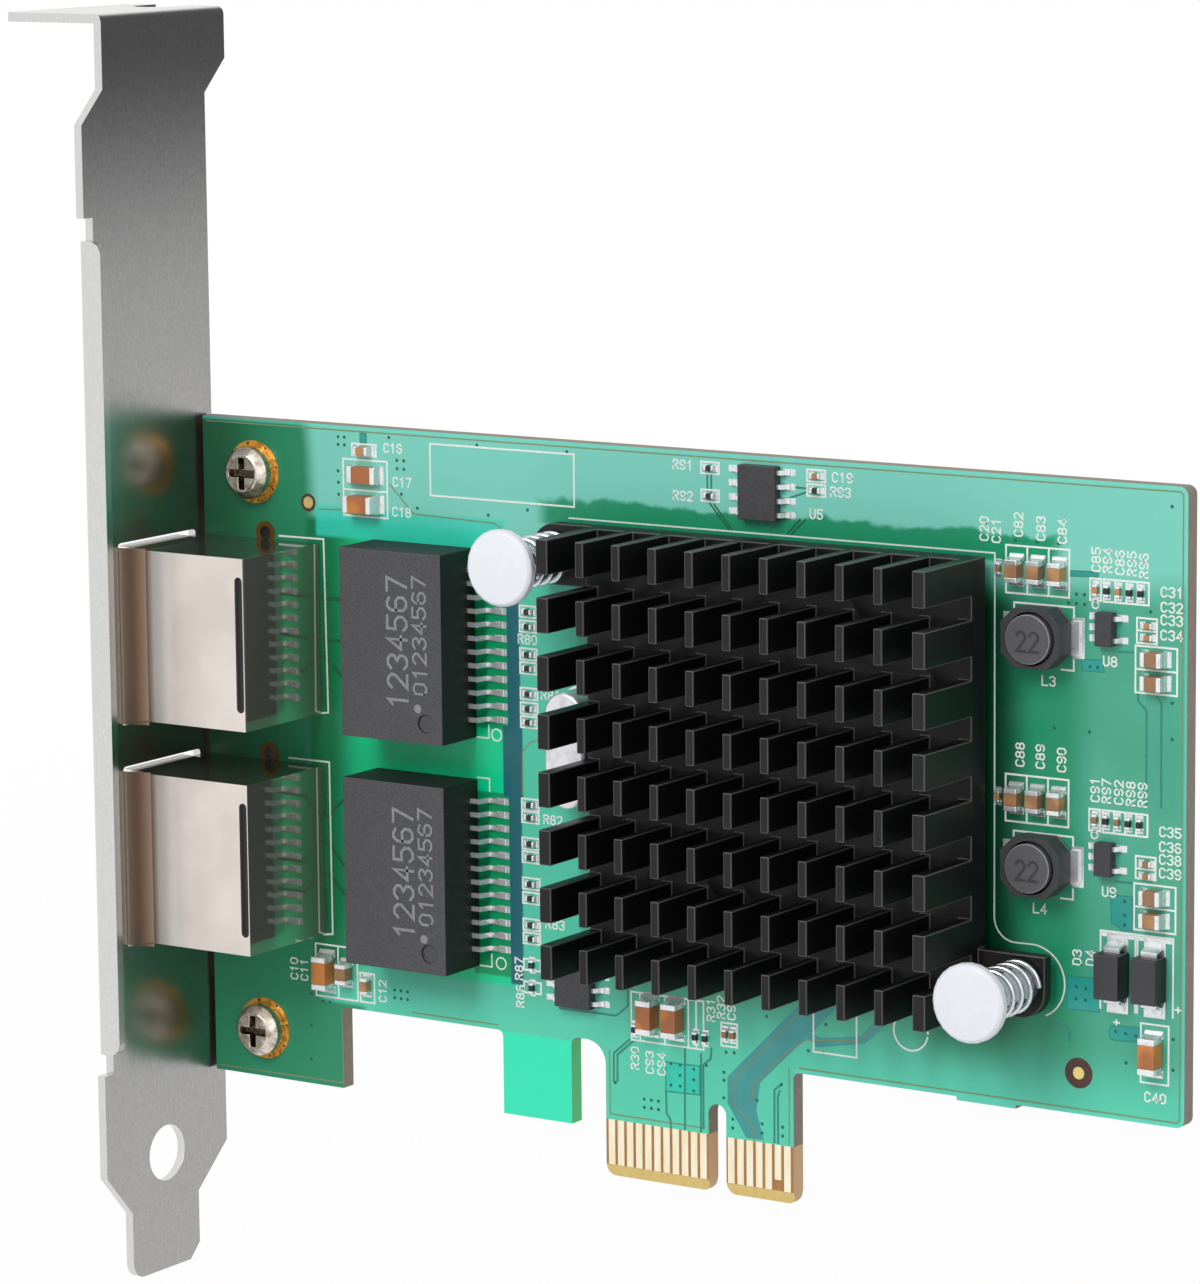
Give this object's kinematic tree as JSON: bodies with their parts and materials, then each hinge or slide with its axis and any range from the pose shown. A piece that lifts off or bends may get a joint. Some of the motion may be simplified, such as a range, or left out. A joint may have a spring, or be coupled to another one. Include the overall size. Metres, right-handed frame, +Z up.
{
  "type": "network interface card",
  "caption": "Upright expansion card with two shielded network jacks on a folded metal bracket, a pin-fin heat sink and a gold contact edge.",
  "frame": {"origin": "middle of the key notch on the bottom line of the gold contact edge, half way through the board's thickness", "axes": "+X towards the card's free end, away from the bracket; +Z up, away from the contact edge; -Y is the way the component side faces"},
  "size_m": [0.1169, 0.0215, 0.12],
  "materials": {
    "solder_mask_board": "green solder mask over glass fibre board, with white silkscreen",
    "gold_plate": "thin gold plating",
    "nickel_steel": "nickel-plated steel sheet with a fine rolling grain",
    "jack_shield_metal": "bright nickel-plated brass shell",
    "jack_plastic": "black moulded insulator",
    "light_window": "clear light window",
    "solder": "bright tin solder",
    "tinned_lead": "tinned copper lead",
    "black_moulding": "dark grey moulding compound",
    "thermal_pad": "soft grey thermal pad",
    "black_anodised": "black anodised extrusion with sawn cross slots",
    "white_nylon": "white nylon",
    "spring_steel": "bright spring wire",
    "ferrite": "dark grey ferrite",
    "enamelled_copper": "enamelled copper wire",
    "crystal_metal": "drawn nickel-silver can",
    "capacitor_ceramic": "fired orange-brown ceramic",
    "resistor_ceramic": "black glazed film on ceramic",
    "tin_end_cap": "tin-plated end cap"
  },
  "bodies": {
    "root": {"pcb": "solder_mask_board", "edge_contacts_front": "gold_plate", "edge_contacts_back": "gold_plate", "plated_rings": "gold_plate", "sighting_marks": "gold_plate", "upper_jack_contacts": "gold_plate", "lower_jack_contacts": "gold_plate", "bracket": "nickel_steel", "bracket_screws": "nickel_steel", "upper_jack_shield": "jack_shield_metal", "lower_jack_shield": "jack_shield_metal", "upper_jack_body": "jack_plastic", "lower_jack_body": "jack_plastic", "upper_jack_lights": "light_window", "lower_jack_lights": "light_window", "jack_solder_joints": "solder", "upper_magnetics_leads": "tinned_lead", "lower_magnetics_leads": "tinned_lead", "boot_memory_leads": "tinned_lead", "setup_memory_leads": "tinned_lead", "upper_regulator_leads": "tinned_lead", "lower_regulator_leads": "tinned_lead", "diode_leads": "tinned_lead", "inductor_terminals": "tinned_lead", "upper_magnetics": "black_moulding", "lower_magnetics": "black_moulding", "controller_chip": "black_moulding", "boot_memory": "black_moulding", "setup_memory": "black_moulding", "upper_regulator": "black_moulding", "lower_regulator": "black_moulding", "diodes": "black_moulding", "thermal_pad": "thermal_pad", "heat_sink": "black_anodised", "upper_push_pin": "white_nylon", "lower_push_pin": "white_nylon", "push_pin_springs": "spring_steel", "inductor_shields": "ferrite", "inductor_drums": "ferrite", "inductor_windings": "enamelled_copper", "crystal_can": "crystal_metal", "crystal_base": "crystal_metal", "large_capacitor_bodies": "capacitor_ceramic", "flat_capacitor_bodies": "capacitor_ceramic", "medium_capacitor_bodies": "capacitor_ceramic", "small_capacitor_bodies": "capacitor_ceramic", "tiny_capacitor_bodies": "capacitor_ceramic", "resistor_bodies": "resistor_ceramic", "large_capacitor_ends": "tin_end_cap", "flat_capacitor_ends": "tin_end_cap", "medium_capacitor_ends": "tin_end_cap", "small_capacitor_ends": "tin_end_cap", "tiny_capacitor_ends": "tin_end_cap", "resistor_ends": "tin_end_cap"}
  },
  "joints": []
}
